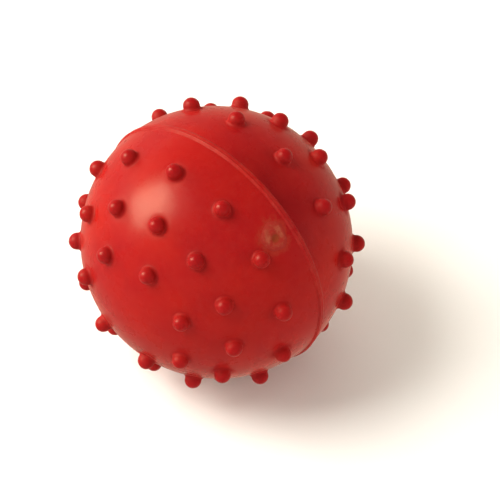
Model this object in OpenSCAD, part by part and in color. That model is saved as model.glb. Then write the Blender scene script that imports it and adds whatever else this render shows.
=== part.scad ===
// Knobbly hollow rubber ball.
// Two moulded half shells are cemented rim to rim. The mould axis lies along Y, so the parting
// plane is the XZ plane and the front half faces -Y. The origin is the centre of the ball.
//
// Each half is drawn in its own mould frame, with Z from the parting plane to the pole and X as in
// the ball. front_place() and rear_place() turn the two mould frames into the ball's frame.

/* [Body] */
// Outside diameter of the body in the parting plane, without rib and nubs
body_d = 64; // [52:1:90]
// How much shallower each half is than a true hemisphere, which leaves a faint crease at the seam
crown_drop = 0.7; // [0.2:0.1:1.5]
// Wall thickness of the rubber
wall_t = 4; // [3:0.25:6]

/* [Nubs] */
// Diameter of a nub's stem and of its domed head
nub_d = 4; // [3:0.1:5]
// Height of a nub over the body
nub_h = 2.9; // [2.6:0.1:4]
// Radius of the fillet where a nub grows out of the body
nub_fillet = 0.6; // [0.3:0.1:0.9]
// Number of nubs in each half's ring nearest the seam
ring_1_count = 13; // [8:1:14]
// Number of nubs in each half's middle ring
ring_2_count = 12; // [7:1:12]
// Number of nubs in each half's ring nearest the pole
ring_3_count = 7; // [4:1:8]
// Angle of the ring nearest the seam above the parting plane
ring_1_angle = 20.5; // [18:0.5:24]
// Angle of the middle ring above the parting plane
ring_2_angle = 42.5; // [39:0.5:45]
// Angle of the ring nearest the pole above the parting plane
ring_3_angle = 62; // [59:0.5:66]
// Where the first nub of the ring nearest the seam lies, from +X towards +Z
ring_1_clock = 68.5; // [0:0.5:90]
// Where the first nub of the middle ring lies, from +X towards +Z
ring_2_clock = 58.5; // [0:0.5:90]
// Where the first nub of the ring nearest the pole lies, from +X towards +Z
ring_3_clock = 75.5; // [0:0.5:90]

/* [Seam] */
// Slope of the bevelled rims across the wall, which gives the cement more to hold
bevel_angle = 30; // [15:1:35]
// Thickness of the cured cement between the rims
bond_t = 0.3; // [0.2:0.05:0.6]
// Width of the trimmed parting rib
rib_w = 2.3; // [1.5:0.1:2.6]
// Height of the parting rib over the body
rib_h = 0.5; // [0.3:0.05:0.8]
// Rounding of the rib's two outer edges
rib_round = 0.35; // [0.1:0.05:0.4]
// How far the cement stands proud of the wall inside the ball
inner_bead = 0.4; // [0.2:0.1:0.8]

/* [Needle hole] */
// Gap between the dab that seals the needle hole and the parting rib
seal_gap = 0.7; // [0.3:0.1:2]
// Where the needle hole lies round the ball, from +X towards +Z
needle_clock = 45.5; // [0:0.5:90]
// Diameter of the dab that seals the needle hole outside
seal_d = 6.6; // [4:0.1:8]
// How deep the dab is let into the wall
seal_depth = 0.3; // [0.2:0.05:0.6]
// How far the dab stands proud of the wall
seal_proud = 0.25; // [0.1:0.05:0.5]
// Diameter of the dimple that the needle leaves in the dab
dimple_d = 2.4; // [1:0.1:3]
// Depth of that dimple
dimple_depth = 0.3; // [0.1:0.05:0.35]
// How far the gum pad inside the wall stays from the rim, so that it sits on one half only
plug_rim_gap = 0.4; // [0.2:0.1:2]
// Thickness of the gum pad at its middle
plug_t = 3; // [2:0.25:4]

/* [Hidden] */
// Facets of a full turn in previews: on the nubs, and on the body's large thin sections
$fn = 64;
body_fn = 360;

body_r = body_d / 2;
// Each half is a cap of a sphere. Its centre lies past the parting plane, on the other half's side.
pole_h = body_r - crown_drop;
cap_r = (body_r * body_r + pole_h * pole_h) / (2 * pole_h);
cap_shift = cap_r - pole_h;
inner_r = cap_r - wall_t;

// A nub's root reaches half-way into the wall, and its fillet ends just under the skin.
nub_root = wall_t / 2;
fillet_reach = nub_d / 2 + nub_fillet;
fillet_sink = fillet_reach * fillet_reach / (2 * cap_r) + 0.06;

// Half of the length of any tool that only has to reach past the ball
reach = body_d;

// Along the bevel the rims drop this much for each millimetre inwards.
bevel = tan(bevel_angle);

// The needle's axis goes through the cap's centre, and meets the skin needle_h over the parting plane.
needle_h = rib_w / 2 + seal_gap + seal_d / 2;
needle_angle = asin((needle_h + cap_shift) / cap_r);

// The front rim's inner edge reaches rim_drop past the parting plane, and the gum pad uses that room.
rim_drop = (body_r - inner_r) * bevel - bond_t / 2;
plug_h = inner_r * sin(needle_angle) - cap_shift;
plug_d = 2 * (plug_h + rim_drop - plug_rim_gap);

// The gum pad is the lens between the inner wall and a ball of pad_r whose centre is on the axis.
pad_sag = inner_r - sqrt(inner_r * inner_r - plug_d * plug_d / 4);
pad_crown = plug_t - pad_sag;
pad_r = (plug_d * plug_d / 4 + pad_crown * pad_crown) / (2 * pad_crown);
pad_centre = inner_r - plug_t + pad_r;

// The dimple is cut by a ball whose centre is out on the axis.
dimple_r = (dimple_d * dimple_d / 4 + dimple_depth * dimple_depth) / (2 * dimple_depth);
dimple_centre = cap_r + seal_proud - dimple_depth + dimple_r;

// ---------- frames ----------

module front_place() {
    rotate([90, 0, 0])
        children();
}

module rear_place() {
    mirror([0, 1, 0])
        front_place()
            children();
}

// Puts its children on an axis out of the cap's centre, raised from the parting plane by angle.
module on_cap(angle, clock) {
    translate([0, 0, -cap_shift])
        rotate([0, 90 - angle, clock])
            children();
}

// ---------- sections, with X the radius and Y the height over the parting plane ----------

// The wall of one half before its rim is cut
module wall_section(centre_y) {
    translate([0, centre_y])
        difference() {
            circle(r = cap_r, $fn = body_fn);
            circle(r = inner_r, $fn = body_fn);
        }
}

// All that lies over a line sloping with the bevel, which meets the body's edge at height edge_y
module over_bevel(edge_y) {
    polygon([
        [0, edge_y - body_r * bevel],
        [reach, edge_y + (reach - body_r) * bevel],
        [reach, reach * 2],
        [0, reach * 2]
    ]);
}

// The front wall ends in an outside bevel: its inner edge reaches past the parting plane.
module front_section() {
    intersection() {
        wall_section(-cap_shift);
        over_bevel(bond_t / 2);
    }
}

// The rear wall ends in the matching inside bevel.
module rear_section() {
    intersection() {
        difference() {
            wall_section(cap_shift);
            over_bevel(-bond_t / 2);
        }
        translate([0, -reach])
            square([reach, reach * 2]);
    }
}

// The rib has a flat top and two rounded edges, and starts well inside the wall.
module rib_section() {
    rib_top = body_r + rib_h;
    translate([body_r - wall_t / 2, -rib_w / 2])
        square([wall_t / 2 + rib_h - rib_round, rib_w]);
    translate([body_r, rib_round - rib_w / 2])
        square([rib_h, rib_w - 2 * rib_round]);
    for (side = [-1, 1])
        translate([rib_top - rib_round, side * (rib_w / 2 - rib_round)])
            circle(r = rib_round);
}

// The cement between the bevelled rims, from the rib to the bead inside
module cement_section() {
    bead_r = inner_r - inner_bead;
    intersection() {
        difference() {
            over_bevel(-bond_t / 2);
            over_bevel(bond_t / 2);
        }
        translate([bead_r, -reach])
            square([body_r - bead_r, reach * 2]);
    }
}

// One nub in outline: stem, half-round head and the fillet at its foot
module nub_section() {
    head_y = nub_h - nub_d / 2;
    foot_y = nub_fillet - fillet_sink;
    translate([0, -nub_root])
        square([nub_d / 2, nub_root + head_y]);
    intersection() {
        translate([0, head_y])
            circle(d = nub_d);
        translate([0, head_y])
            square([nub_d, nub_d]);
    }
    difference() {
        translate([0, -nub_root])
            square([fillet_reach, nub_root + foot_y]);
        translate([fillet_reach, foot_y])
            circle(r = nub_fillet);
    }
}

// ---------- shared shapes ----------

module nub() {
    rotate_extrude()
        nub_section();
}

module nub_ring(count, angle, clock) {
    for (i = [0 : count - 1])
        on_cap(angle, clock + i * 360 / count)
            translate([0, 0, cap_r])
                nub();
}

module seam_side_nubs() {
    nub_ring(ring_1_count, ring_1_angle, ring_1_clock);
}

// Both halves carry the same pattern. The poles stay bare.
module nub_pattern() {
    seam_side_nubs();
    nub_ring(ring_2_count, ring_2_angle, ring_2_clock);
    nub_ring(ring_3_count, ring_3_angle, ring_3_clock);
}

// The shallow seat of the dab, reaching out past the wall
module seal_seat() {
    difference() {
        on_cap(needle_angle, needle_clock)
            cylinder(d = seal_d, h = cap_r + nub_h);
        translate([0, 0, -cap_shift])
            sphere(r = cap_r - seal_depth, $fn = body_fn);
    }
}

// ---------- sub-parts ----------

module front_half_shell() {
    color("firebrick")
        front_place()
            union() {
                difference() {
                    rotate_extrude($fn = body_fn)
                        front_section();
                    seal_seat();
                }
                nub_pattern();
            }
}

module rear_half_shell() {
    color("firebrick")
        rear_place()
            union() {
                rotate_extrude($fn = body_fn)
                    mirror([0, 1])
                        rear_section();
                nub_pattern();
            }
}

module seam_bond_ring() {
    color("indianred")
        front_place()
            rotate_extrude($fn = body_fn)
                difference() {
                    union() {
                        rib_section();
                        cement_section();
                    }
                    front_section();
                    rear_section();
                }
}

module inner_sealing_plug() {
    color("darkgoldenrod")
        front_place()
            intersection() {
                translate([0, 0, -cap_shift])
                    sphere(r = inner_r, $fn = body_fn);
                on_cap(needle_angle, needle_clock)
                    translate([0, 0, pad_centre])
                        sphere(r = pad_r, $fn = body_fn);
            }
}

// The dab runs round the foot of a nub that stands in its way.
module needle_hole_seal() {
    color("tan")
        front_place()
            difference() {
                intersection() {
                    seal_seat();
                    translate([0, 0, -cap_shift])
                        sphere(r = cap_r + seal_proud, $fn = body_fn);
                }
                on_cap(needle_angle, needle_clock)
                    translate([0, 0, dimple_centre])
                        sphere(r = dimple_r);
                seam_side_nubs();
            }
}

front_half_shell();
rear_half_shell();
seam_bond_ring();
inner_sealing_plug();
needle_hole_seal();
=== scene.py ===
# %% [markdown]
# # A knobbly hollow rubber ball
# The real ball is moulded from red rubber in two half shells. Each half carries its nubs in one piece
# with the wall. The two rims are cemented together, which leaves a low trimmed rib all round, and the
# hole of the inflation needle beside it is closed by a dab of rubber solution. A pad of gum rubber
# backs that hole on the inside.
# The CAD model is loaded first and stays fixed. Every shape below takes its place from it, so nothing
# has to be fitted by eye.

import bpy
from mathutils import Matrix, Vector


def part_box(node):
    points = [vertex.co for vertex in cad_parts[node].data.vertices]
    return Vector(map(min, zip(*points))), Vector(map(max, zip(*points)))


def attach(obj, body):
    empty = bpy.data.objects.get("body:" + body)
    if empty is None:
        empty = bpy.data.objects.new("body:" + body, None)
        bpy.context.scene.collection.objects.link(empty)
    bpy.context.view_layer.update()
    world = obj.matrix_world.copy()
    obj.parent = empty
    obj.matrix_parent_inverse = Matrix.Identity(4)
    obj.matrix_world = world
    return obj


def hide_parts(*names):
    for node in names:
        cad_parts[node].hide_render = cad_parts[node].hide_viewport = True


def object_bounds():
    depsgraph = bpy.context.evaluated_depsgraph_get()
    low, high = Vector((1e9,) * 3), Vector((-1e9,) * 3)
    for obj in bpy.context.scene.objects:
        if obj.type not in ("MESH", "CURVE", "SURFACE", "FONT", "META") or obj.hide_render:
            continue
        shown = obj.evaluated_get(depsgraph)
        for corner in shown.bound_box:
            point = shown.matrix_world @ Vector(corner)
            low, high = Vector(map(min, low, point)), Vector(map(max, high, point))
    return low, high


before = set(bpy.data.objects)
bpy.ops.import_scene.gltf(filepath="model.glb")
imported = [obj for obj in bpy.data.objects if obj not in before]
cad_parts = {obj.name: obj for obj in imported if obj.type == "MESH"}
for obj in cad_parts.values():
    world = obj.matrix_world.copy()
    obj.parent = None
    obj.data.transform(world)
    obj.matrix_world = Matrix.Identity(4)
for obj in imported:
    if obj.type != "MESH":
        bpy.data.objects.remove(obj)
cad_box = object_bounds()
print("CAD box, mm:", [[round(c * 1000, 2) for c in corner] for corner in cad_box])

# %% [markdown]
# ## Tools
# Numpy does the arithmetic for whole arrays of points, and mathutils joins scattered points into
# triangles. All lengths are in metres, as in Blender and in the CAD model, so sizes in millimetres are
# written times MM.

# %% Modules
import math

import bpy
import numpy as np
from mathutils import Vector
from mathutils.geometry import delaunay_2d_cdt

MM = 0.001
print("one millimetre is", MM, "metres")

# %% [markdown]
# ## Sizes
# The bond ring's rib stands proud of the body by a known amount, so the ring's widest reach gives the
# body's radius. The front half's reach gives the height of its pole. Each half is a slightly shallow
# cap of a sphere, so its centre lies a little past the parting plane. Working this out from the frame
# keeps the visible rubber on the CAD model's surfaces.

# %% Read the sizes from the frame
RIB_PROUD = 0.5 * MM
WALL = 4.0 * MM
BOND = 0.3 * MM
RIB_WIDTH = 2.3 * MM
BEVEL = math.tan(math.radians(30))

body_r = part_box("seam_bond_ring")[1].x - RIB_PROUD
pole_h = -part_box("front_half_shell")[0].y
cap_r = (body_r ** 2 + pole_h ** 2) / (2 * pole_h)
cap_shift = cap_r - pole_h
inner_r = cap_r - WALL
print("body radius %.2f, cap radius %.3f, centre shift %.3f mm"
      % (body_r / MM, cap_r / MM, cap_shift / MM))

# %% [markdown]
# ## Directions
# Viewers and lamps stand round the ball, so an azimuth and an elevation say best where they are. Both
# are aimed by a rotation, and not by a tracking constraint, because a rotation stays readable.


# %% Where things stand and look
def seen_from(azimuth, elevation):
    """Unit vector from the ball towards a viewer or a lamp at that azimuth and elevation."""
    return Vector((
        math.sin(azimuth) * math.cos(elevation),
        -math.cos(azimuth) * math.cos(elevation),
        math.sin(elevation),
    ))


def aim(thing, towards):
    """Turns a camera or a lamp so that it looks along the vector towards."""
    thing.rotation_mode = "QUATERNION"
    thing.rotation_quaternion = towards.to_track_quat("-Z", "Y")


print("straight in front:", [round(c, 3) for c in seen_from(0, 0)])

# %% [markdown]
# ## Camera
# A long lens a good way off keeps the ball free of perspective, as in a catalogue picture. A short lens
# close by would swell the nubs in front. The camera looks down at about 48 degrees. The ball sits a
# little up and left of the middle of the picture, which leaves room for its shadow.

# %% Place the camera
AZIMUTH = math.radians(41.2)
ELEVATION = math.radians(48.1)
CAMERA_AWAY = 1.92
LENS = 598
SENSOR = 36
AIM_RIGHT = 7.7 * MM
AIM_DOWN = 1.8 * MM

back = seen_from(AZIMUTH, ELEVATION)
right = Vector((math.cos(AZIMUTH), math.sin(AZIMUTH), 0))
up = back.cross(right)
target = right * AIM_RIGHT - up * AIM_DOWN

scene = bpy.context.scene
camera = bpy.data.objects.new("camera", bpy.data.cameras.new("camera"))
scene.collection.objects.link(camera)
camera.location = target + back * CAMERA_AWAY
aim(camera, -back)
camera.data.lens = LENS
camera.data.sensor_width = SENSOR
camera.data.clip_start = 0.1
camera.data.clip_end = 10
scene.camera = camera
print("camera at", [round(c, 3) for c in camera.location])

# %% [markdown]
# ## Softboxes
# A high-key studio picture is taken on a white sweep that is lit until it blows out to pure white, so
# that only the heart of the shadow is left. The key softbox stands high on the left, a long low one
# further back rakes the ball's left side, and a low one on the right lifts the other side. Mirrored in
# the rubber, three softboxes would be three hard patches, so they only light it. The one soft highlight
# comes from a panel that only adds shine, so its size and warmth can be set by themselves.

# %% Softboxes
LAMP_AWAY = 2.0
KEY_BOX = {"turn": -45, "rise": 52, "width": 1.15, "height": 1.15, "radiance": 11.2,
           "colour": (1.0, 0.97, 0.90)}
LOW_BOX = {"turn": -91.5, "rise": 12, "width": 2.75, "height": 0.75, "radiance": 8.2,
           "colour": (1.0, 0.92, 0.78)}
RIGHT_BOX = {"turn": 128, "rise": 6, "width": 1.50, "height": 0.60, "radiance": 6.4,
             "colour": (1.0, 0.94, 0.84)}
SHINE_PANEL = {"turn": -54, "rise": 36, "width": 0.92, "height": 1.15, "radiance": 40.0,
               "colour": (0.92, 0.84, 0.56)}


def add_softbox(name, turn, rise, width, height, radiance, colour, lights=True, shines=False):
    """A flat lamp that faces the ball. Turn and rise are in degrees."""
    lamp = bpy.data.lights.new(name, "AREA")
    lamp.shape = "RECTANGLE"
    lamp.size = width
    lamp.size_y = height
    lamp.energy = radiance * math.pi * width * height
    lamp.color = colour
    stand = bpy.data.objects.new(name, lamp)
    scene.collection.objects.link(stand)
    direction = seen_from(math.radians(turn), math.radians(rise))
    stand.location = direction * LAMP_AWAY
    aim(stand, -direction)
    stand.visible_camera = False
    stand.visible_diffuse = lights
    stand.visible_glossy = shines
    print("%s: %.1f W" % (name, lamp.energy))


add_softbox("key_softbox", **KEY_BOX)
add_softbox("low_softbox", **LOW_BOX)
add_softbox("right_softbox", **RIGHT_BOX)
add_softbox("shine_panel", **SHINE_PANEL, lights=False, shines=True)

# %% [markdown]
# ## Fill light
# White walls and reflectors round the table lift the shadows. A sky of one even strength would flatten
# the ball, so this one grows stronger towards the front: the dot product of each direction with the
# front's direction rises smoothly there, and the half behind keeps the lower level. The plain view
# transform keeps the white clean and the red deep.

# %% Sky
FILL_COLOUR = (1.0, 0.94, 0.83, 1)
FILL_SIDES = 0.46
FILL_FRONT = 0.71
FILL_TURN = math.radians(6)

world = bpy.data.worlds.new("fill")
scene.world = world
world.use_nodes = True
sky_nodes = world.node_tree.nodes
sky = sky_nodes["Background"]
sky.inputs["Color"].default_value = FILL_COLOUR
sky_place = sky_nodes.new("ShaderNodeTexCoord")
towards_front = sky_nodes.new("ShaderNodeVectorMath")
towards_front.operation = "DOT_PRODUCT"
towards_front.inputs[1].default_value = (math.sin(FILL_TURN), -math.cos(FILL_TURN), 0)
front_half_of_sky = sky_nodes.new("ShaderNodeMath")
front_half_of_sky.operation = "MAXIMUM"
front_half_of_sky.inputs[1].default_value = 0
sky_level = sky_nodes.new("ShaderNodeMath")
sky_level.operation = "MULTIPLY_ADD"
sky_level.inputs[1].default_value = FILL_FRONT
sky_level.inputs[2].default_value = FILL_SIDES
for output, socket in [
    (sky_place.outputs["Generated"], towards_front.inputs[0]),
    (towards_front.outputs["Value"], front_half_of_sky.inputs[0]),
    (front_half_of_sky.outputs["Value"], sky_level.inputs[0]),
    (sky_level.outputs["Value"], sky.inputs["Strength"]),
]:
    world.node_tree.links.new(output, socket)
scene.view_settings.view_transform = "Standard"
print("fill from %.2f behind to %.2f in front" % (FILL_SIDES, FILL_SIDES + FILL_FRONT))

# %% [markdown]
# ## Floor
# The ball lies on a flat white sheet, which is one large square at the ball's lowest point. The lit
# sheet is so bright that its mirror image would veil the whole lower half of the ball, so gloss doesn't
# see it. A second square, which only gloss sees, takes its place there and gets its own dim glow
# further down.

# %% Floor and reflected card
FLOOR_HALF = 1.5

floor_z = cad_box[0].z
floor_mesh = bpy.data.meshes.new("floor")
floor_corners = [(x * FLOOR_HALF, y * FLOOR_HALF, floor_z)
                 for x, y in [(-1, -1), (1, -1), (1, 1), (-1, 1)]]
floor_mesh.from_pydata(floor_corners, [], [(0, 1, 2, 3)])
floor = bpy.data.objects.new("floor", floor_mesh)
scene.collection.objects.link(floor)
floor.visible_glossy = False

card = bpy.data.objects.new("reflected_card", floor_mesh.copy())
scene.collection.objects.link(card)
card.visible_camera = False
card.visible_diffuse = False
card.visible_shadow = False
print("floor at z = %.2f mm" % (floor_z / MM))

# %% [markdown]
# ## A mesh put together ring by ring
# Moulded rubber is smooth and round, so most of it is rings of points joined by strips of faces. Ready
# spheres and cylinders would have to be cut and fused, which leaves slivers. This small helper keeps the
# points and faces of a piece until it is handed to Blender as one closed mesh.


# %% Rings, strips and fans
class Shape:
    """Points in metres and faces by number. Faces run anticlockwise seen from outside."""

    def __init__(self):
        self.points = []
        self.faces = []

    def ring(self, points):
        """Adds points and returns their numbers."""
        first = len(self.points)
        self.points.extend(np.asarray(points, dtype=float).tolist())
        return list(range(first, len(self.points)))

    def strip(self, outer, inner):
        """Joins two rings of the same length with four-sided faces."""
        count = len(outer)
        for i in range(count):
            j = (i + 1) % count
            self.faces.append((outer[i], outer[j], inner[j], inner[i]))

    def fan(self, ring, tip):
        """Closes a ring with triangles that meet in one point."""
        count = len(ring)
        for i in range(count):
            self.faces.append((ring[i], ring[(i + 1) % count], tip))


# %% [markdown]
# ## From points to a Blender object
# The points and faces become a mesh with smooth shading, apart from edges that bend more than the
# crease angle, such as the bevelled rims. Numbers stored at each point tell the finishes later where
# the nubs, the smear and the other marks are.


# %% Objects and stored numbers
def to_object(name, shape, place, inside_out=False, crease=50):
    """Makes the Blender object of a shape, with place turning its points into the ball's frame."""
    points = place(np.array(shape.points))
    faces = [f[::-1] for f in shape.faces] if inside_out else shape.faces
    mesh = bpy.data.meshes.new(name)
    mesh.from_pydata(points.tolist(), [], faces)
    mesh.validate()
    mesh.polygons.foreach_set("use_smooth", [True] * len(mesh.polygons))
    mesh.set_sharp_from_angle(angle=math.radians(crease))
    thing = bpy.data.objects.new(name, mesh)
    scene.collection.objects.link(thing)
    triangles = sum(len(f) - 2 for f in faces)
    print("%s: %d points, %d triangles" % (name, len(points), triangles))
    return thing


def add_measure(thing, name, values):
    """Stores one number for each point, for the material to read."""
    attribute = thing.data.attributes.new(name, "FLOAT", "POINT")
    attribute.data.foreach_set("value", np.asarray(values, dtype=np.float32))


def points_of(thing):
    """The places of all points of an object's mesh, one row each."""
    flat = np.empty(len(thing.data.vertices) * 3)
    thing.data.vertices.foreach_get("co", flat)
    return flat.reshape(-1, 3)


# %% [markdown]
# ## Mould frames
# Each half is made in its own mould frame: the parting plane is z = 0 and the pole points along +z.
# The front half then turns to face -Y. The rear half is its mirror image, so its faces are reversed.
# One recipe in the mould frame is easier to read than two recipes in the ball's frame.


# %% From mould to ball
def front_place(points):
    """Front mould frame to the ball's frame."""
    return np.stack([points[:, 0], -points[:, 2], points[:, 1]], axis=1)


def rear_place(points):
    """Rear mould frame to the ball's frame."""
    return np.stack([points[:, 0], points[:, 2], points[:, 1]], axis=1)


cap_centre = np.array([0, 0, -cap_shift])
print("centre of the front cap, mm:", front_place(cap_centre[None, :])[0] / MM)

# %% [markdown]
# ## Slow waves
# No rubber moulding is a perfect sphere: the wall shrinks and relaxes by a tenth of a millimetre as it
# cures. A few seeded waves added together make such slow swells, and the same ones at every run.
# Blender's own noise functions would do too, one point at a time, but these take a whole mesh at once.

# %% Seeded waves
WAVE_PITCHES = (0.7, 1.6)


def waves(points, length, seed, count=18):
    """Smooth random values from about -1 to 1 at points, changing over about length metres."""
    rng = np.random.default_rng(seed)
    directions = rng.normal(size=(count, 3))
    directions /= np.linalg.norm(directions, axis=1, keepdims=True)
    pitch = 2 * math.pi / (length * rng.uniform(*WAVE_PITCHES, count))
    phase = rng.uniform(0, 2 * math.pi, count)
    return np.cos(points @ (directions * pitch[:, None]).T + phase).sum(axis=1) / math.sqrt(2 * count)


def ease(share):
    """A soft start and a soft end on the way from 0 to 1."""
    return share ** 2 * (3 - 2 * share)


print("waves at three far points:", waves(np.eye(3) * body_r, body_r, 1).round(2))

# %% [markdown]
# ## Where the nubs stand
# Each half has three rings of nubs and a bare pole. The pockets of the mould are cut at an even spacing,
# so a ring is a count, a height and the place of its first nub. Writing down every nub by itself would
# take seven times the numbers, and one slip among them would be hard to see.

# %% Nub rings of one half
NUB_RINGS = [  # how many, degrees above the parting plane, degrees round to the first one
    (13, 20.5, 68.5),
    (12, 42.5, 58.5),
    (7, 62.0, 75.5),
]


def cap_direction(rise, turn):
    """Unit vector from a cap's centre, in degrees above the parting plane and round the pole."""
    rise, turn = math.radians(rise), math.radians(turn)
    return np.array([
        math.cos(rise) * math.cos(turn),
        math.cos(rise) * math.sin(turn),
        math.sin(rise),
    ])


def side_axes(axis):
    """Two unit vectors square to axis, so that side, across and axis form a right-handed set."""
    side = np.cross([0, 0, 1], axis)
    side /= np.linalg.norm(side)
    return side, np.cross(axis, side)


nub_axes = [cap_direction(rise, first + 360 * i / count)
            for count, rise, first in NUB_RINGS for i in range(count)]
print("nubs on each half:", len(nub_axes))

# %% [markdown]
# ## The outline of a nub
# A nub is a short stem with a half-round head. Its foot has a soft fillet, because rubber tears at a
# sharp inner corner when the nub is pulled from its pocket. The outline is a list of radii and heights
# that is carried round the nub's axis, just as a lathe would turn it.

# %% Nub outline
NUB_R = 2.0 * MM
NUB_H = 2.9 * MM
NUB_FILLET = 0.6 * MM
FOOT_R = NUB_R + NUB_FILLET + 0.20 * MM
FILLET_ANGLES = np.linspace(0, 90, 6)
HEAD_ANGLES = np.linspace(0, 84, 11)


def nub_profile(width, height):
    """Radius and height over the skin from the foot to just below the tip, in metres."""
    stem = NUB_R * width
    shoulder = NUB_H * height - stem
    reach = stem + NUB_FILLET
    sink = reach ** 2 / (2 * cap_r)
    profile = []
    for turn in np.radians(FILLET_ANGLES):
        profile.append((reach - NUB_FILLET * math.sin(turn),
                        NUB_FILLET * (1 - math.cos(turn)) - sink * math.cos(turn)))
    profile.append((stem, (NUB_FILLET + shoulder) / 2))
    for turn in np.radians(HEAD_ANGLES):
        profile.append((stem * math.cos(turn), shoulder + stem * math.sin(turn)))
    return profile


print("rings on each nub:", len(nub_profile(1, 1)))

# %% [markdown]
# ## Growing a nub
# Rubber fills each pocket a little differently and is bent on its way out, so every nub gets its own
# width, height and lean. The nub starts from a circle of points that already belongs to the skin, so it
# is one piece with the wall, as on the moulded ball.

# %% One nub
NUB_STEPS = 44
NUB_WIDTHS = (0.95, 1.0)
NUB_HEIGHTS = (0.93, 1.0)
NUB_LEAN = 0.02
FILLET_MIDDLE = NUB_R + 0.4 * NUB_FILLET
FOOT_PLATEAU = 1.3
FOOT_FADE = 0.65 * MM


def add_nub(shape, foot, axis, rng):
    """Grows one nub inside its foot circle."""
    side, across = side_axes(axis)
    width = rng.uniform(*NUB_WIDTHS)
    height = rng.uniform(*NUB_HEIGHTS)
    lean = rng.normal(size=2) * NUB_LEAN
    turn = 2 * math.pi * np.arange(NUB_STEPS) / NUB_STEPS
    flat = np.cos(turn)[:, None] * side + np.sin(turn)[:, None] * across
    previous = foot
    for radius, rise in nub_profile(width, height):
        bent = max(rise, 0) * (lean[0] * side + lean[1] * across)
        ring = shape.ring(axis * (cap_r + rise) + flat * radius + bent)
        shape.strip(previous, ring)
        previous = ring
    top = NUB_H * height
    tip = shape.ring([axis * (cap_r + top) + top * (lean[0] * side + lean[1] * across)])
    shape.fan(previous, tip[0])


def near_nub_foot(unit):
    """One on the fillet of a nub, fading to nothing on the skin around it and up its stem."""
    nearest = np.min([np.arccos(np.clip(unit @ axis, -1, 1)) for axis in nub_axes], axis=0)
    off_fillet = np.abs(nearest * cap_r - FILLET_MIDDLE)
    return np.clip(FOOT_PLATEAU - off_fillet / FOOT_FADE, 0, 1)


print("nubs %.2f to %.2f mm wide" % tuple(2 * NUB_R * width / MM for width in NUB_WIDTHS))

# %% [markdown]
# ## Points for the skin
# The wall between the nubs has no natural grid, so it is filled with evenly scattered points, laid in a
# spiral as the seeds of a sunflower are. A grid of circles would crowd at the pole and show there as a
# star in the shine.

# %% Scattered points and circles
RIM_STEPS = 300
NET_PITCH = 0.72 * MM
TRIANGLE_SHARE = 0.866
GOLDEN_SHARE = 3 - math.sqrt(5)


def scattered(lowest, pitch):
    """Evenly scattered directions on the cap down to height lowest, about pitch apart."""
    area = 2 * math.pi * cap_r ** 2 * (1 - lowest)
    count = int(area / (TRIANGLE_SHARE * pitch ** 2))
    step = np.arange(count)
    height = 1 - (1 - lowest) * (step + 0.5) / count
    turn = step * math.pi * GOLDEN_SHARE
    flat = np.sqrt(1 - height ** 2)
    return np.stack([flat * np.cos(turn), flat * np.sin(turn), height], axis=1)


def circle_on_cap(axis, radii, steps):
    """Directions of a closed line round axis, with its radius along the skin for each step."""
    side, across = side_axes(axis)
    turn = 2 * math.pi * np.arange(steps) / steps
    angle = np.broadcast_to(radii, (steps,)) / cap_r
    flat = np.cos(turn)[:, None] * side + np.sin(turn)[:, None] * across
    return np.cos(angle)[:, None] * axis + np.sin(angle)[:, None] * flat


print("points scattered over one half:", len(scattered(0, NET_PITCH)))

# %% [markdown]
# ## Flattening and holes
# Joining points into well-shaped triangles is a solved task on a flat sheet. So the cap is flattened by
# a map that keeps small circles round, and the triangles found there are used on the sphere. The nubs
# and the dab's seat grow from holes in the net, whose triangles have all corners on one closed line.


# %% Flat map and holes
def to_plane(directions):
    """Flattens directions on the cap, keeping angles."""
    return directions[:, :2] / (1 + directions[:, 2:3])


def inside_a_hole(faces, holes, count):
    """Whether all three corners of a triangle lie on the line of one and the same hole."""
    owner = np.full(count, -1)
    first = 0
    for number, (line, _, _) in enumerate(holes):
        owner[first:first + len(line)] = number
        first += len(line)
    own = owner[faces]
    return (own[:, 0] >= 0) & (own[:, 0] == own[:, 1]) & (own[:, 1] == own[:, 2])


print("the first nub on the flat map:", to_plane(nub_axes[0][None, :])[0].round(3))

# %% [markdown]
# ## The net of the skin
# The foot of each nub, the dab's edge and the rim are fixed lines of the net, so whatever grows from
# them fits without a gap. Scattered points that come too close to such a line are left out, because
# they would make slivers.

# %% Net of one skin
RIM_CLEAR = 0.5 * NET_PITCH
HOLE_CLEAR = 0.42 * NET_PITCH


def net(rim, holes):
    """All directions of the net, and its triangles outside the holes. The holes and rim come first."""
    lines = [directions for directions, _, _ in holes] + [rim]
    fill = scattered(rim[0][2], NET_PITCH)
    keep = fill[:, 2] > rim[0][2] + RIM_CLEAR / cap_r
    for _, axis, radius in holes:
        keep &= np.arccos(np.clip(fill @ axis, -1, 1)) * cap_r > radius + HOLE_CLEAR
    directions = np.vstack(lines + [fill[keep]])
    edges = []
    first = 0
    for line in lines:
        count = len(line)
        edges += [(first + i, first + (i + 1) % count) for i in range(count)]
        first += count
    flat = [Vector(p) for p in to_plane(directions).tolist()]
    _, _, triangles, origin, _, _ = delaunay_2d_cdt(flat, edges, [], 0, 1e-9)
    faces = np.array([[origin[i][0] for i in t] for t in triangles])
    return directions, faces[~inside_a_hole(faces, holes, len(directions))]


print("net pitch %.2f mm" % (NET_PITCH / MM))

# %% [markdown]
# ## Outline of the sealing dab
# The dab of rubber solution was put on by hand, so its edge wanders. Four waves round a circle give
# such an edge. The same line is the edge of its shallow seat in the front half, and the dab fills
# that seat exactly. Where a nub stands in the way, the line keeps clear of its foot.

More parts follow.
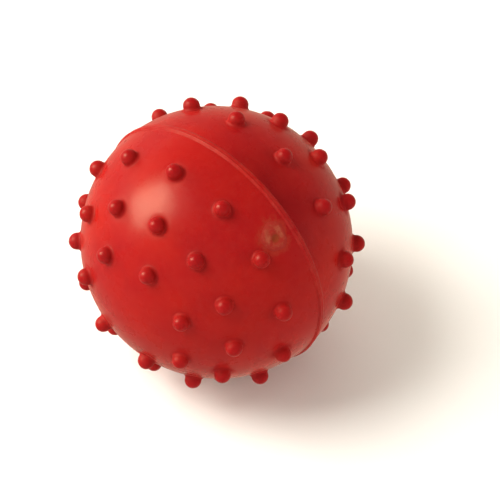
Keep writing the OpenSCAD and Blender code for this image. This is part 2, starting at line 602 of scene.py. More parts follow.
# %% Dab outline
DAB_R = 3.3 * MM
DAB_GAP = 0.7 * MM
DAB_AXIS_HEIGHT = RIB_WIDTH / 2 + DAB_GAP + DAB_R
DAB_TURN = 45.5
DAB_STEPS = 96
DAB_WANDER = [  # how many waves round the dab, how strong, where they start
    (2, 0.050, 0.6),
    (3, 0.045, 2.1),
    (5, 0.025, 0.4),
    (9, 0.012, 1.7),
]
NUB_CLEAR = FOOT_R + 0.15 * MM

dab_rise = math.degrees(math.asin((DAB_AXIS_HEIGHT + cap_shift) / cap_r))
dab_axis = cap_direction(dab_rise, DAB_TURN)
dab_side, dab_across = side_axes(dab_axis)
dab_turns = 2 * math.pi * np.arange(DAB_STEPS) / DAB_STEPS
dab_outline = np.ones(DAB_STEPS)
for count, strength, start in DAB_WANDER:
    dab_outline += strength * np.cos(count * dab_turns + start)
dab_outline *= DAB_R

for nub_axis in nub_axes:
    away = math.acos(nub_axis @ dab_axis) * cap_r
    bearing = math.atan2(nub_axis @ dab_across, nub_axis @ dab_side)
    off_line = away * np.sin(dab_turns - bearing)
    ahead = away * np.cos(dab_turns - bearing)
    in_the_way = (np.abs(off_line) < NUB_CLEAR) & (ahead > 0)
    nearest = ahead - np.sqrt(np.maximum(NUB_CLEAR ** 2 - off_line ** 2, 0))
    dab_outline = np.where(in_the_way, np.minimum(dab_outline, nearest), dab_outline)
print("dab axis %.1f degrees above the parting plane, outline %.1f to %.1f mm"
      % (dab_rise, dab_outline.min() / MM, dab_outline.max() / MM))

# %% [markdown]
# ## Seat of the dab
# The skin is roughened and scraped down before the solution goes on, so the dab lies in a shallow seat.
# It could be cut with a boolean, but rings that follow the outline give the same with clean faces.

# %% Seat
SEAT_DEPTH = 0.3 * MM
SEAT_ROWS = (1.0, 0.99, 0.85, 0.68, 0.5, 0.32, 0.15)


def add_seat(shape, edge):
    """The shallow seat of the dab: a short wall and a floor."""
    previous = edge
    floor_r = cap_r - SEAT_DEPTH
    for share in SEAT_ROWS:
        line = circle_on_cap(dab_axis, dab_outline * share, DAB_STEPS) * floor_r
        ring = shape.ring(line)
        shape.strip(previous, ring)
        previous = ring
    middle = shape.ring([dab_axis * floor_r])
    shape.fan(previous, middle[0])


print("seat %.1f mm deep, %d rows" % (SEAT_DEPTH / MM, len(SEAT_ROWS)))

# %% [markdown]
# ## Bevelled rim and inner skin
# The rims slope across the wall, which gives the cement more to hold. The bevels of the two halves
# match: the front one drops towards the inside and the rear one rises. The inner skin is smooth, since
# the core of the mould is a plain ball. It starts where the bevel meets it, which a few steps of trial
# and correction find.

# %% Rim and inside
RIM_HEIGHT = BOND / 2
RIM_ROWS = (0.33, 0.67, 1.0)
INNER_ROWS = 34
CORRECTIONS = 20


def add_rim_and_inside(shape, outer_rim, bevel):
    """The bevelled rim and the smooth inner skin, about the cap's centre."""
    turn = 2 * math.pi * np.arange(RIM_STEPS) / RIM_STEPS
    compass = np.stack([np.cos(turn), np.sin(turn), np.zeros(RIM_STEPS)], axis=1)
    up_axis = np.array([0, 0, 1.0])
    flat_r = inner_r
    for _ in range(CORRECTIONS):
        drop = cap_shift + RIM_HEIGHT + (flat_r - body_r) * bevel
        flat_r = math.sqrt(inner_r ** 2 - drop ** 2)
    edge_rise = math.asin(drop / inner_r)
    previous = outer_rim
    outer_flat = math.sqrt(cap_r ** 2 - (cap_shift + RIM_HEIGHT) ** 2)
    for share in RIM_ROWS:
        radius = outer_flat + (flat_r - outer_flat) * share
        height = cap_shift + RIM_HEIGHT + (drop - cap_shift - RIM_HEIGHT) * share
        ring = shape.ring(compass * radius + up_axis * height)
        shape.strip(ring, previous)
        previous = ring
    for row in range(1, INNER_ROWS):
        rise = edge_rise + (math.pi / 2 - edge_rise) * row / INNER_ROWS
        ring = shape.ring(inner_r * (compass * math.cos(rise) + up_axis * math.sin(rise)))
        shape.strip(ring, previous)
        previous = ring
    pole = shape.ring([up_axis * inner_r])
    shape.fan(previous[::-1], pole[0])


print("wall %.1f mm thick, inner radius %.2f mm" % (WALL / MM, inner_r / MM))

# %% [markdown]
# ## Swells
# The skin of the real ball isn't quite even. Its swells only go inwards and fade out at the rim, so the
# halves still meet and nothing outgrows the CAD model. Moving the points gives true shading, which a
# bump in the finish couldn't give along the ball's outline.

# %% Swells of the skin
SWELL_DEPTH = 0.11 * MM
SWELL_LENGTH = 26 * MM
SWELL_FADE = 4 * MM


def let_swell(shape, seed):
    """Sinks the outer skin by its swells. Returns each point's direction and height over the cap."""
    skin = np.array(shape.points)
    lengths = np.linalg.norm(skin, axis=1)
    unit = skin / lengths[:, None]
    fade = ease(np.clip((skin[:, 2] - cap_shift) / SWELL_FADE, 0, 1))
    level = np.clip(0.5 + 0.33 * waves(unit * cap_r, SWELL_LENGTH, seed), 0, 1)
    shape.points = (skin - unit * (SWELL_DEPTH * fade * level)[:, None]).tolist()
    return unit, lengths - cap_r


print("swells up to %.2f mm deep" % (SWELL_DEPTH / MM))

# %% [markdown]
# ## The two half shells
# A half is one closed wall: the outer skin with its nubs, the seat of the dab in the front one, the
# bevelled rim and the inner skin. All of it is one mesh, because the real half is one piece of rubber.


# %% Build the halves
def half_shell(name, place, bevel, seed, seated):
    """The object of one half. bevel is the rim's slope outwards, and seated cuts the dab's seat."""
    rng = np.random.default_rng(seed)
    shape = Shape()
    rim_rise = math.degrees(math.asin((RIM_HEIGHT + cap_shift) / cap_r))
    rim = np.array([cap_direction(rim_rise, 360 * i / RIM_STEPS) for i in range(RIM_STEPS)])
    holes = [(circle_on_cap(axis, FOOT_R, NUB_STEPS), axis, FOOT_R) for axis in nub_axes]
    if seated:
        seat = circle_on_cap(dab_axis, dab_outline, DAB_STEPS)
        holes.append((seat, dab_axis, dab_outline.max()))
    directions, triangles = net(rim, holes)
    shape.ring(directions * cap_r)
    shape.faces.extend(map(tuple, triangles.tolist()))

    first = 0
    for axis in nub_axes:
        add_nub(shape, list(range(first, first + NUB_STEPS)), axis, rng)
        first += NUB_STEPS
    if seated:
        add_seat(shape, list(range(first, first + DAB_STEPS)))
        first += DAB_STEPS
    outer_rim = list(range(first, first + RIM_STEPS))

    unit, over_cap = let_swell(shape, seed + 1)
    add_rim_and_inside(shape, outer_rim, bevel)
    shape.points = (np.array(shape.points) + cap_centre).tolist()
    half = to_object(name, shape, place, inside_out=place is rear_place)
    no_marks = np.zeros(len(shape.points) - len(unit))
    add_measure(half, "nub", np.concatenate([np.clip(over_cap / NUB_H, 0, 1), no_marks]))
    add_measure(half, "foot", np.concatenate([near_nub_foot(unit), no_marks]))
    return half


front_half = half_shell("front_half", front_place, BEVEL, seed=11, seated=True)
rear_half = half_shell("rear_half", rear_place, -BEVEL, seed=23, seated=False)

# %% [markdown]
# ## Smear round the dab
# Some solution ran past the edge of the seat and dried there as a thin smear. It has no thickness worth
# modelling, so the skin only stores how near each point is to the dab, and the rubber's finish turns
# that into a faint tan.

# %% Mark the smear
SMEAR_REACH = 1.8 * MM


def mark_smear(thing):
    """One at the dab's edge, fading to nothing where the smear ends."""
    side, across = (front_place(v[None, :])[0] for v in (dab_side, dab_across))
    middle = front_place((dab_axis * cap_r + cap_centre)[None, :])[0]
    away = points_of(thing) - middle
    east, north = away @ side, away @ across
    turn = np.arctan2(north, east) % (2 * math.pi)
    edge = np.interp(turn, np.append(dab_turns, 2 * math.pi), np.append(dab_outline, dab_outline[0]))
    past_edge = np.hypot(east, north) - edge
    near = np.linalg.norm(away, axis=1) < 3 * DAB_R
    smear = np.where(near, np.clip(1 - past_edge / SMEAR_REACH, 0, 1), 0)
    add_measure(thing, "smear", smear)
    print("points under the smear:", int((smear > 0).sum()))


mark_smear(front_half)

# %% [markdown]
# ## Painted shade behind the rib
# On one stretch of the seam, the rear half is painted a deeper red behind the rib, as painted shade. It
# is strongest at the rib, thins out away from it and towards both ends, and is a little uneven.

# %% Mark the painted shade behind the rib
SEAM_SHADE_TURN = 57
SEAM_SHADE_SPAN = 44
SEAM_SHADE_REACH = 11 * MM


def mark_seam_shade(thing):
    """One at the rib in the middle of the stretch, fading to nothing at its ends and further off."""
    points = points_of(thing)
    turn = np.degrees(np.arctan2(points[:, 2], points[:, 0]))
    along = np.clip(np.abs(turn - SEAM_SHADE_TURN) / SEAM_SHADE_SPAN, 0, 1)
    across = np.clip(1 - points[:, 1] / SEAM_SHADE_REACH, 0, 1)
    uneven = 1 + 0.2 * waves(points, 8 * MM, 71)
    # Painted shade: strongest at the rib, fading along the seam and away from it.
    seam_shade = np.cos(along * math.pi / 2) ** 2 * across ** 0.8 * uneven
    add_measure(thing, "seam_shade", seam_shade)
    print("strongest painted_shade: %.2f" % seam_shade.max())


mark_seam_shade(rear_half)

# %% [markdown]
# ## The flanks of the rib
# The rib is what is left when the squeezed-out cement and the moulding flash are trimmed. The knife
# lies flatter behind it than in front, so its two flanks differ. Ready bevels can't give that, so each
# flank is a soft step written down point by point, and its foot sinks just under the skin.

# %% Rib flanks
RIB_SLOPE = (0.0, 0.17, 0.33, 0.5, 0.67, 0.83, 1.0)
FRONT_SLOPE = 0.55 * MM
REAR_SLOPE = 0.75 * MM
FOOT_SINK = 0.03 * MM


def skin_radius(off_plane):
    """Distance of the body's skin from the ball's axis at a height over the parting plane."""
    return math.sqrt(cap_r ** 2 - (abs(off_plane) + cap_shift) ** 2)


def rib_flank(edge, slope, low_top):
    """Radius and height over the parting plane up one side of the rib, from its foot to its edge."""
    foot = skin_radius(edge) - FOOT_SINK
    top = body_r + RIB_PROUD
    return [(foot + (top - low_top - foot) * ease(share), edge + slope * share)
            for share in RIB_SLOPE]


print("rib flanks %.2f mm in front, %.2f mm behind" % (FRONT_SLOPE / MM, REAR_SLOPE / MM))

# %% [markdown]
# ## The section of the seam
# Rib and cement between the bevelled rims are one cured piece. Between the two edges that the knife
# leaves, the rib's top is slightly hollow. The cement follows the bevels inwards and ends in a small
# bead that was squeezed out inside the ball.

# %% Seam section
RIB_TOP = (0.25, 0.5, 0.75)
RIB_HOLLOW = 0.05 * MM
BEAD_BASE = 0.6 * MM
BEAD_SHOULDER = 0.9 * MM
BEAD_OUT = 0.35 * MM
BEAD_UP = 0.1 * MM
BEAD_PROUD = 0.4 * MM
BEAD_HALF = 1.6 * RIM_HEIGHT
BEAD_ANGLES = (-60, -20, 20, 60)


def seam_section(front_edge, rear_edge, front_top, rear_top):
    """Radius and height over the parting plane round the section, starting at the front foot."""
    section = rib_flank(front_edge, -FRONT_SLOPE, front_top)
    inner_front = front_edge - FRONT_SLOPE
    inner_rear = rear_edge + REAR_SLOPE
    hollow = body_r + RIB_PROUD - max(front_top, rear_top) - RIB_HOLLOW
    for share in RIB_TOP:
        section.append((hollow, inner_front + (inner_rear - inner_front) * share))
    section += reversed(rib_flank(rear_edge, REAR_SLOPE, rear_top))
    rim_r = skin_radius(RIM_HEIGHT)
    bead_r = inner_r - BEAD_BASE
    wall_end = bead_r + BEAD_SHOULDER
    section.append((rim_r, -RIM_HEIGHT))
    section.append((wall_end, -RIM_HEIGHT + (wall_end - body_r) * BEVEL))
    bead_mid = (bead_r - body_r) * BEVEL
    for turn in np.radians(BEAD_ANGLES):
        section.append((bead_r + BEAD_OUT - BEAD_PROUD * math.cos(turn),
                        bead_mid + BEAD_UP + BEAD_HALF * math.sin(turn)))
    section.append((wall_end, RIM_HEIGHT + (wall_end - body_r) * BEVEL))
    section.append((rim_r, RIM_HEIGHT))
    return section


print("points round the seam's section:", len(seam_section(MM, -MM, 0, 0)))

# %% [markdown]
# ## The bond ring
# The knife isn't led perfectly, so the rib's edges and heights drift a little on the way round. Each
# step round the ball gets its own section, and strips join them into a closed ring. A curve with a
# bevel would be quicker, but its section would be the same all round.

# %% Build the bond ring
SEAM_STEPS = 540


def drift(turn, seed, lowest, highest):
    """A slow random change round the seam, between lowest and highest."""
    around = np.stack([np.cos(turn), np.sin(turn), 0 * turn], axis=1) * body_r
    value = 0.6 * waves(around, 30 * MM, seed) + 0.4 * waves(around, 7 * MM, seed + 1)
    return lowest + (highest - lowest) * np.clip(0.5 + 0.4 * value, 0, 1)


def build_seam(name):
    """The bond ring, swept round the ball's axis in the front mould frame."""
    turn = 2 * math.pi * np.arange(SEAM_STEPS) / SEAM_STEPS
    half_width = RIB_WIDTH / 2
    front_edge = drift(turn, 41, 0.86, 1.0) * half_width
    rear_edge = -drift(turn, 43, 0.82, 1.0) * half_width
    front_top = drift(turn, 45, 0.0, 0.12) * MM
    rear_top = drift(turn, 47, 0.08, 0.26) * MM
    shape = Shape()
    rings = []
    for i in range(SEAM_STEPS):
        section = seam_section(front_edge[i], rear_edge[i], front_top[i], rear_top[i])
        rings.append(shape.ring([
            (r * math.cos(turn[i]), r * math.sin(turn[i]), z) for r, z in section
        ]))
    for i in range(SEAM_STEPS):
        shape.strip(rings[i], rings[(i + 1) % SEAM_STEPS])
    return to_object(name, shape, front_place, crease=60)


bond = build_seam("parting_rib")

# %% [markdown]
# ## The top of the sealing dab
# Rubber solution dries from the edge inwards and shrinks, so the dab is a low lumpy cushion with a
# dimple where the needle went in. A formula for its height gives the cushion, the lumps and the dimple
# in one go, where sculpting by hand couldn't be repeated.

# %% Height of the dab
DAB_PROUD = 0.24 * MM
DAB_EDGE = 0.02 * MM
DAB_SLOPE = 0.28
DAB_LUMPS = 1.7 * MM
DAB_FINE = 0.8 * MM
DIMPLE_R = 1.2 * MM
DIMPLE_DEPTH = 0.36 * MM
DIMPLE_OFF = 0.5 * MM

dimple_middle = dab_axis * cap_r - dab_side * DIMPLE_OFF


def dab_height(share, spot):
    """Height of the dab's top over the skin at spot, which lies at that share of the outline."""
    edge = np.clip((1 - share) / DAB_SLOPE, 0, 1)
    body = DAB_EDGE + (DAB_PROUD - DAB_EDGE) * np.sin(edge * math.pi / 2)
    lumps = 0.5 + 0.5 * waves(spot, DAB_LUMPS, 61)
    fine = waves(spot, DAB_FINE, 63)
    from_dimple = np.linalg.norm(spot - dimple_middle, axis=1)
    dimple = np.exp(-(from_dimple / DIMPLE_R) ** 2 * 1.4)
    height = body * (0.55 + 0.40 * np.clip(lumps, 0, 1)) + 0.018 * MM * fine * edge
    return np.minimum(height - DIMPLE_DEPTH * dimple, DAB_PROUD)


print("dab %.2f mm proud, dimple %.2f mm deep" % (DAB_PROUD / MM, DIMPLE_DEPTH / MM))

# %% [markdown]
# ## The dab itself
# The dab is a closed lens: a top of many rows that shrink towards the middle, a short wall and a bottom
# that lies on the seat. It is a piece of its own, because the solution is another material than the
# ball and can be peeled off.

# %% Build the dab
DAB_CLEAR = 0.01 * MM
DAB_ROWS = 22

dab_shares = 1 - np.arange(DAB_ROWS) / DAB_ROWS


def add_dab_top(shape):
    """The lumpy top, row by row from its edge to its middle. Returns the ring at its edge."""
    rings = []
    for share in dab_shares:
        line = circle_on_cap(dab_axis, dab_outline * share, DAB_STEPS)
        height = dab_height(np.full(DAB_STEPS, share), line * cap_r)
        rings.append(shape.ring(line * (cap_r + height)[:, None]))
    for outer, inner in zip(rings, rings[1:]):
        shape.strip(outer, inner)
    centre_line = dab_axis[None, :]
    height = dab_height(np.zeros(1), centre_line * cap_r)
    tip = shape.ring(centre_line * (cap_r + height[0]))
    shape.fan(rings[-1], tip[0])
    return rings[0]


def build_dab(name):
    """The lens: the lumpy top, a short wall and a bottom on the seat."""
    shape = Shape()
    top_edge = add_dab_top(shape)
    floor_r = cap_r - SEAT_DEPTH + DAB_CLEAR
    bottom = shape.ring(circle_on_cap(dab_axis, dab_outline, DAB_STEPS) * floor_r)
    shape.strip(bottom, top_edge)
    middle = shape.ring([dab_axis * floor_r])
    shape.fan(bottom[::-1], middle[0])

    over_cap = np.linalg.norm(np.array(shape.points), axis=1) - cap_r
    top_shares = np.append(np.repeat(dab_shares, DAB_STEPS), 0)
    shares = np.append(top_shares, np.ones(len(over_cap) - len(top_shares)))
    shape.points = (np.array(shape.points) + cap_centre).tolist()
    thing = to_object(name, shape, front_place, crease=60)
    add_measure(thing, "proud", np.clip(over_cap / DAB_PROUD, 0, 1))
    add_measure(thing, "share", shares)
    return thing


dab = build_dab("sealing_dab")

# %% [markdown]
# ## Mark of the dimple
# Dirt settles where the needle went in. The dab stores how near each point is to that spot, so that the
# finish can darken it. A noise alone couldn't know where the dimple is.

# %% Mark the dimple
dab_middle = front_place((dimple_middle + cap_centre)[None, :])[0]
from_middle = np.linalg.norm(points_of(dab) - dab_middle, axis=1)
dimple = np.clip(1.6 - from_middle / DIMPLE_R, 0, 1)
add_measure(dab, "dimple", dimple)
print("points in the dimple:", int((dimple > 0).sum()))

# %% [markdown]
# ## Material helpers
# A material is a small net of nodes. These helpers add a node, set its numbers and link it up, so that
# the recipes below read like a list. Patterns are laid out in object space, in metres, so a cloud of
# 14 mm is 14 mm on every piece.


# %% Node helpers
def new_material(name):
    """A material with its node tree, its surface shader and object-space coordinates."""
    material = bpy.data.materials.new(name)
    material.use_nodes = True
    tree = material.node_tree
    shader = tree.nodes["Principled BSDF"]
    place = tree.nodes.new("ShaderNodeTexCoord").outputs["Object"]
    return material, tree, shader, place


def noise(tree, place, size, detail=3.0, roughness=0.55):
    """Cloudy values from 0 to 1 whose clouds are about size metres across."""
    node = tree.nodes.new("ShaderNodeTexNoise")
    node.inputs["Scale"].default_value = 1 / size
    node.inputs["Detail"].default_value = detail
    node.inputs["Roughness"].default_value = roughness
    tree.links.new(place, node.inputs["Vector"])
    return node.outputs["Fac"]


def measure(tree, name):
    """The numbers stored on the mesh under name."""
    node = tree.nodes.new("ShaderNodeAttribute")
    node.attribute_name = name
    return node.outputs["Fac"]


# %% [markdown]
# ## Helpers for values
# A noise runs from 0 to 1 but mostly stays near the middle, so its useful part is stretched to the
# range that a finish needs. Two values can be added, multiplied or compared by one more node.


# %% Nodes for values
def spread(tree, value, low, high, out_low=0.0, out_high=1.0):
    """Stretches value from low..high to out_low..out_high and holds it there."""
    node = tree.nodes.new("ShaderNodeMapRange")
    for socket, number in zip(("From Min", "From Max", "To Min", "To Max"),
                              (low, high, out_low, out_high)):
        node.inputs[socket].default_value = number
    tree.links.new(value, node.inputs["Value"])
    return node.outputs["Result"]


def combine(tree, first, second, operation="ADD"):
    """Two values added, or joined by another operation."""
    node = tree.nodes.new("ShaderNodeMath")
    node.operation = operation
    tree.links.new(first, node.inputs[0])
    tree.links.new(second, node.inputs[1])
    return node.outputs["Value"]


# %% [markdown]
# ## Helpers for colour and relief
# One colour laid over another by an amount is how paint, dust and wear build up, so a mix of two
# colours does most of the work. Relief finer than a mesh could carry is a bump: it bends the light and
# leaves the shape alone.


# %% Colour and relief nodes
def blend_colours(tree, amount, first, second):
    """From first to second by amount. Each colour is a socket or three numbers."""
    node = tree.nodes.new("ShaderNodeMix")
    node.data_type = "RGBA"
    tree.links.new(amount, node.inputs["Factor"])
    colour_sockets = [s for s in node.inputs if s.type == "RGBA"]
    for socket, colour in zip(colour_sockets, (first, second)):
        if isinstance(colour, tuple):
            socket.default_value = (*colour, 1)
        else:
            tree.links.new(colour, socket)
    return [s for s in node.outputs if s.type == "RGBA"][0]


def bumps(tree, height, depth, under=None):
    """A normal whose relief is depth metres deep."""
    node = tree.nodes.new("ShaderNodeBump")
    node.inputs["Strength"].default_value = 1.0
    node.inputs["Distance"].default_value = depth
    tree.links.new(height, node.inputs["Height"])
    if under:
        tree.links.new(under, node.inputs["Normal"])
    return node.outputs["Normal"]


# %% [markdown]
# ## Red rubber: colour
# The ball's red is a deep, slightly orange pigment through the whole wall. Up close it is faintly
# mottled, with flecks of bloom and fine dust. The heads of the nubs are a shade deeper. Their feet are
# darker, which is painted shade, and so is a deeper red on one stretch behind the rib. The rib's pale
# flecks are stronger as a painted highlight, and the smear round the dab is torn at its edge. Each is
# one more thin layer over the last.

# %% Colour of the red rubber
RED_DEEP = (0.275, 0.0042, 0.0060)
RED_WARM = (0.330, 0.0070, 0.0050)
RED_NUB = (0.250, 0.003, 0.005)
# Pale bloom. On the rib its flecks are also a painted highlight.
BLOOM_AND_HIGHLIGHT = (0.45, 0.10, 0.07)
SMEAR = (0.30, 0.022, 0.013)
# Dark red at the feet of the nubs, painted shade where the fillet meets the skin.
FOOT_SHADE = (0.17, 0.003, 0.004)
# Deeper red used as painted shade behind the rib.
SEAM_SHADE_RED = (0.155, 0.0025, 0.0035)
MOTTLE_SIZE = 14 * MM
FLECK_SIZE = 1.3 * MM
DUST_SIZE = 0.5 * MM
TEAR_SIZE = 1.1 * MM


def rubber_colour(tree, place, painted_highlight):
    """The red with its marks, painted shade and painted highlight, as a colour socket."""
    clouds = spread(tree, noise(tree, place, MOTTLE_SIZE), 0.32, 0.68)
    colour = blend_colours(tree, clouds, RED_DEEP, RED_WARM)
    # Pale flecks. They are stronger on the rib, where they are a painted highlight.
    flecks = spread(tree, noise(tree, place, FLECK_SIZE, 4.0, 0.6), 0.40, 0.80, 0.0, 0.05 + painted_highlight)
    colour = blend_colours(tree, flecks, colour, BLOOM_AND_HIGHLIGHT)
    dust = spread(tree, noise(tree, place, DUST_SIZE, 2.0), 0.68, 0.80, 0.0, 0.12)
    colour = blend_colours(tree, dust, colour, BLOOM_AND_HIGHLIGHT)
    head = spread(tree, measure(tree, "nub"), 0.25, 0.8, 0.0, 0.6)
    colour = blend_colours(tree, head, colour, RED_NUB)
    # Painted shade at the feet of the nubs.
    foot_shade = spread(tree, measure(tree, "foot"), 0.4, 1.2, 0.0, 0.30)
    colour = blend_colours(tree, foot_shade, colour, FOOT_SHADE)
    # Painted shade: a deeper red behind the rib on one stretch of the seam.
    seam_shade = spread(tree, measure(tree, "seam_shade"), 0.0, 1.0, 0.0, 0.90)
    colour = blend_colours(tree, seam_shade, colour, SEAM_SHADE_RED)
    torn = spread(tree, noise(tree, place, TEAR_SIZE, 4.0, 0.6), 0.35, 0.6, -0.45, 0.25)
    smear = spread(tree, combine(tree, measure(tree, "smear"), torn), 0.25, 0.9, 0.0, 0.85)
    return blend_colours(tree, smear, colour, SMEAR)


print("deepest and warmest red:", RED_DEEP, RED_WARM)

# %% [markdown]
# ## Red rubber: shine
# The skin copies a satin mould, so its shine is broad and soft and changes a little from patch to
# patch. The nubs come from drilled pockets: their tops are rubbed satin again, but their sides and feet
# stay matt, which keeps a bright line from ringing each foot.

# %% Roughness of the red rubber
PATCH_SIZE = 5 * MM
SATIN_LOW = 0.25
SATIN_HIGH = 0.31
MATT_SIDE = 0.16
MATT_FOOT = 0.30


def rubber_roughness(tree, place, dull):
    """Patchy satin, rougher down the sides and at the feet of the nubs."""
    patches = noise(tree, place, PATCH_SIZE, 4.0)
    patchy = spread(tree, patches, 0.3, 0.7, SATIN_LOW + dull, SATIN_HIGH + dull)
    on_nub = spread(tree, measure(tree, "nub"), 0.0, 0.1)
    off_top = spread(tree, measure(tree, "nub"), 0.55, 0.95, MATT_SIDE, 0.0)
    matt_side = combine(tree, on_nub, off_top, "MULTIPLY")
    matt_foot = spread(tree, measure(tree, "foot"), 0.0, 0.7, 0.0, MATT_FOOT)
    matt = combine(tree, matt_side, matt_foot, "MAXIMUM")
    return combine(tree, patchy, matt)


print("roughness %.2f to %.2f on open skin" % (SATIN_LOW, SATIN_HIGH))

# %% [markdown]
# ## Red rubber: the whole recipe
# Fine grain under a slow ripple gives the skin its relief. A little light goes into the rubber and
# comes out redder. The plain gloss of rubber is kept low and a thin warm sheen pales the skin at
# grazing angles, as bloom does. The rib is the same rubber, duller from the knife, and its stronger pale
# flecks are a painted highlight along it.

# %% Red rubber
GRAIN_SIZE = 0.45 * MM
GRAIN_DEPTH = 0.010 * MM
RIPPLE_SIZE = 3.0 * MM
RIPPLE_DEPTH = 0.035 * MM


def red_rubber(name, painted_highlight=0.0, dull=0.0):
    """Satin moulded rubber. Its two numbers, each from 0 to 1, add pale flecks as a painted highlight
    and add roughness.
    """
    material, tree, shader, place = new_material(name)
    tree.links.new(rubber_colour(tree, place, painted_highlight), shader.inputs["Base Color"])
    tree.links.new(rubber_roughness(tree, place, dull), shader.inputs["Roughness"])
    grain = bumps(tree, noise(tree, place, GRAIN_SIZE, 2.0), GRAIN_DEPTH)
    ripple = bumps(tree, noise(tree, place, RIPPLE_SIZE, 2.0), RIPPLE_DEPTH, grain)
    tree.links.new(ripple, shader.inputs["Normal"])
    shader.inputs["Subsurface Weight"].default_value = 0.08
    shader.inputs["Subsurface Radius"].default_value = (1.0, 0.12, 0.06)
    shader.inputs["Subsurface Scale"].default_value = 1.2 * MM
    shader.inputs["Specular IOR Level"].default_value = 0.08
    shader.inputs["Sheen Weight"].default_value = 0.06
    shader.inputs["Sheen Roughness"].default_value = 0.28
    shader.inputs["Sheen Tint"].default_value = (1.0, 0.76, 0.54, 1)
    print("%s: %d nodes" % (name, len(tree.nodes)))
    return material


shell_rubber = red_rubber("moulded_red_rubber")
# The rib's stronger pale flecks are a painted highlight.
rib_rubber = red_rubber("trimmed_seam_rubber", painted_highlight=0.14, dull=0.16)

# %% [markdown]
# ## Dried rubber solution
# The dab is a thin, lumpy skin of tan solution over red rubber. It is paler and more yellow where it is
# thick, lets the red through where it is thin, and is dark olive in the dimple, where dirt has settled.
# Its edge is ragged and fades out. It dries matt and crackled. The stored height, the place between
# middle and edge and the dimple lead the colours, and noise breaks them up.

# %% Tan solution
TAN = (0.315, 0.056, 0.030)
TAN_THIN = (0.285, 0.016, 0.011)
OLIVE = (0.215, 0.026, 0.007)
BREAK_SIZE = 1.7 * MM
RAGGED_SIZE = 0.9 * MM
CRACKLE_SIZE = 0.7 * MM
CRACKLE_DEPTH = 0.06 * MM


def dried_solution(name):
    """Lumpy matt tan over red, by how proud the dab stands."""
    material, tree, shader, place = new_material(name)
    proud = measure(tree, "proud")
    patch = spread(tree, noise(tree, place, BREAK_SIZE, 5.0, 0.65), 0.40, 0.60, -0.60, 0.35)
    thick = spread(tree, combine(tree, proud, patch), 0.20, 0.95)
    ragged = spread(tree, noise(tree, place, RAGGED_SIZE), 0.35, 0.65, -0.22, 0.22)
    inside_edge = spread(tree, combine(tree, measure(tree, "share"), ragged), 0.62, 1.0, 1.0, 0.0)
    thick = combine(tree, thick, inside_edge, "MULTIPLY")
    colour = blend_colours(tree, thick, TAN_THIN, TAN)
    low = spread(tree, proud, 0.0, 0.50, 1.0, 0.35)
    stain = combine(tree, low, measure(tree, "dimple"), "MULTIPLY")
    colour = blend_colours(tree, stain, colour, OLIVE)
    tree.links.new(colour, shader.inputs["Base Color"])
    shader.inputs["Specular IOR Level"].default_value = 0.15
    rough = spread(tree, noise(tree, place, 1.0 * MM), 0.3, 0.7, 0.52, 0.72)
    tree.links.new(rough, shader.inputs["Roughness"])
    crackle = bumps(tree, noise(tree, place, CRACKLE_SIZE, 4.0, 0.65), CRACKLE_DEPTH)
    tree.links.new(crackle, shader.inputs["Normal"])
    print("%s: %d nodes" % (name, len(tree.nodes)))
    return material


solution = dried_solution("dried_rubber_solution")

# %% [markdown]
# ## Gum rubber
# The pad behind the needle hole is raw, sticky gum rubber, amber and slightly see-through. It is never
# seen on a whole ball, so its CAD shape is kept and only gets its finish.

# %% Gum rubber
GUM_DARK = (0.42, 0.21, 0.06)
GUM_LIGHT = (0.62, 0.38, 0.15)


def gum_rubber(name):
    """Cloudy amber gum with a tacky shine."""
    material, tree, shader, place = new_material(name)
    clouds = spread(tree, noise(tree, place, 4 * MM, 4.0), 0.3, 0.7)
    tree.links.new(blend_colours(tree, clouds, GUM_DARK, GUM_LIGHT), shader.inputs["Base Color"])
    tacky = spread(tree, noise(tree, place, 1.5 * MM), 0.3, 0.7, 0.28, 0.46)
    tree.links.new(tacky, shader.inputs["Roughness"])
    skin = bumps(tree, noise(tree, place, 1.2 * MM), 0.05 * MM)
    tree.links.new(skin, shader.inputs["Normal"])
    shader.inputs["Subsurface Weight"].default_value = 0.3
    shader.inputs["Subsurface Radius"].default_value = (1.0, 0.5, 0.2)
    shader.inputs["Subsurface Scale"].default_value = 2 * MM
    print("%s: %d nodes" % (name, len(tree.nodes)))
    return material


gum = gum_rubber("amber_gum_rubber")

# %% [markdown]
# ## White sweep
# Matt white paper. A trace of uneven tone keeps it from being a dead flat colour.

# %% Paper
PAPER_LOW = (0.86, 0.85, 0.83)
PAPER_HIGH = (0.90, 0.90, 0.89)


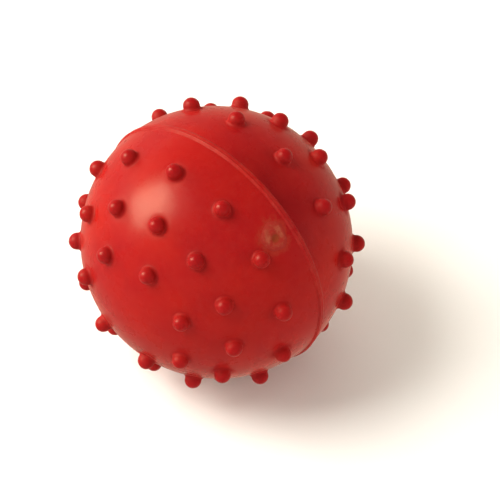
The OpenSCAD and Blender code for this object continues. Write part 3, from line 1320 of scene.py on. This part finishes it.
def sweep_paper(name):
    """Matt white paper."""
    material, tree, shader, place = new_material(name)
    tone = spread(tree, noise(tree, place, 60 * MM, 2.0), 0.3, 0.7)
    tree.links.new(blend_colours(tree, tone, PAPER_LOW, PAPER_HIGH), shader.inputs["Base Color"])
    shader.inputs["Roughness"].default_value = 0.9
    shader.inputs["Specular IOR Level"].default_value = 0.1
    print("%s: %d nodes" % (name, len(tree.nodes)))
    return material


paper = sweep_paper("white_sweep")

# %% [markdown]
# ## Glow of the reflected card
# This is all that the rubber's gloss sees of the floor. It is dimmer than the lit paper and a little
# warmer, as paper is in the ball's own shadow. A glow needs no lamp, so it is the same all over.

# %% Reflected card
CARD_TONE = (1.0, 0.82, 0.62, 1)
CARD_GLOW = 0.75


def glowing_card(name):
    """An even, dim, warm glow."""
    material = bpy.data.materials.new(name)
    material.use_nodes = True
    tree = material.node_tree
    tree.nodes.clear()
    glow = tree.nodes.new("ShaderNodeEmission")
    glow.inputs["Color"].default_value = CARD_TONE
    glow.inputs["Strength"].default_value = CARD_GLOW
    output = tree.nodes.new("ShaderNodeOutputMaterial")
    tree.links.new(glow.outputs["Emission"], output.inputs["Surface"])
    print("%s: strength %.2f" % (name, CARD_GLOW))
    return material


card_glow = glowing_card("reflected_card_glow")

# %% [markdown]
# ## Put it together
# Each piece gets its finish, rides on the ball's one body and takes the place of its CAD node, which is
# hidden. Nothing on this ball moves against anything else, so there is only that body. The gum pad is
# the
# CAD node itself.


# %% Finishes and nodes
def dress(thing, material, node):
    """Gives a piece its material and body, and hides the CAD node that it replaces."""
    thing.data.materials.append(material)
    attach(thing, "root")
    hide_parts(node)
    print(thing.name, "stands for", node)


dress(front_half, shell_rubber, "front_half_shell")
dress(rear_half, shell_rubber, "rear_half_shell")
dress(bond, rib_rubber, "seam_bond_ring")
dress(dab, solution, "needle_hole_seal")
for material_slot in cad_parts["inner_sealing_plug"].material_slots:
    material_slot.material = gum
floor.data.materials.append(paper)
card.data.materials.append(card_glow)
